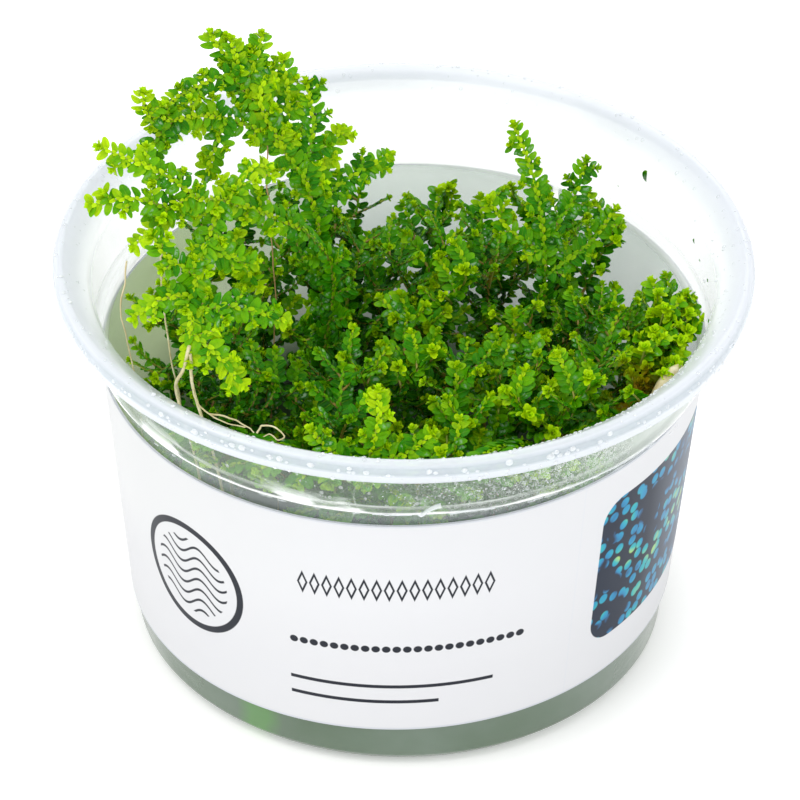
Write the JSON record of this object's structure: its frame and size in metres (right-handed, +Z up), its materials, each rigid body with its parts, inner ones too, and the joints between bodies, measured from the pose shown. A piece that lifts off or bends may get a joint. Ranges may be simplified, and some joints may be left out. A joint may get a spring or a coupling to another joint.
{
  "type": "potted spikemoss in a clear culture cup",
  "caption": "Spikemoss with arching fronds growing from nutrient gel in a clear tapered culture cup with a wide rolled rim and a plain wrap label.",
  "frame": {"origin": "centre of the cup's footprint, at the surface that it stands on", "axes": "+Z up along the cup's axis; -Y towards the front of the label; the long fronds lean to -X"},
  "size_m": [0.101, 0.101, 0.0966],
  "materials": {
    "clear_cup": "clear moulded polypropylene, glossy, slightly milky at the rim",
    "label_film": "white wrap label, satin face, grey-green back",
    "culture_gel": "translucent grey-green agar gel, wet",
    "leaf": "deep green small leaves, wet gloss",
    "young_leaf": "yellow-green young leaves, wet gloss",
    "root": "cream aerial roots, satin"
  },
  "bodies": {
    "root": {"cup": "clear_cup", "frond_front_tuft": "young_leaf", "frond_left_hanging": "young_leaf", "frond_rear_right": "leaf", "frond_tall_arch": "young_leaf", "gel": "culture_gel", "label": "label_film", "root_long_left": "root", "root_mid_left": "root", "root_rear_thin": "root", "root_twin_front": "root", "shoot_01": "leaf", "shoot_02": "leaf", "shoot_03": "leaf", "shoot_04": "leaf", "shoot_05": "leaf", "shoot_06": "leaf", "shoot_07": "leaf", "shoot_08": "leaf", "shoot_09": "leaf", "shoot_10": "leaf", "shoot_11": "leaf", "shoot_12": "leaf", "shoot_13": "leaf", "shoot_14": "leaf", "shoot_15": "leaf", "shoot_16": "leaf", "shoot_17": "leaf", "shoot_18": "leaf", "shoot_19": "leaf", "shoot_20": "leaf", "shoot_21": "leaf", "shoot_22": "leaf", "shoot_23": "leaf", "shoot_24": "leaf", "shoot_25": "leaf", "shoot_26": "leaf", "shoot_27": "leaf", "shoot_28": "leaf", "shoot_29": "leaf", "shoot_30": "leaf", "shoot_31": "leaf"}
  },
  "joints": []
}
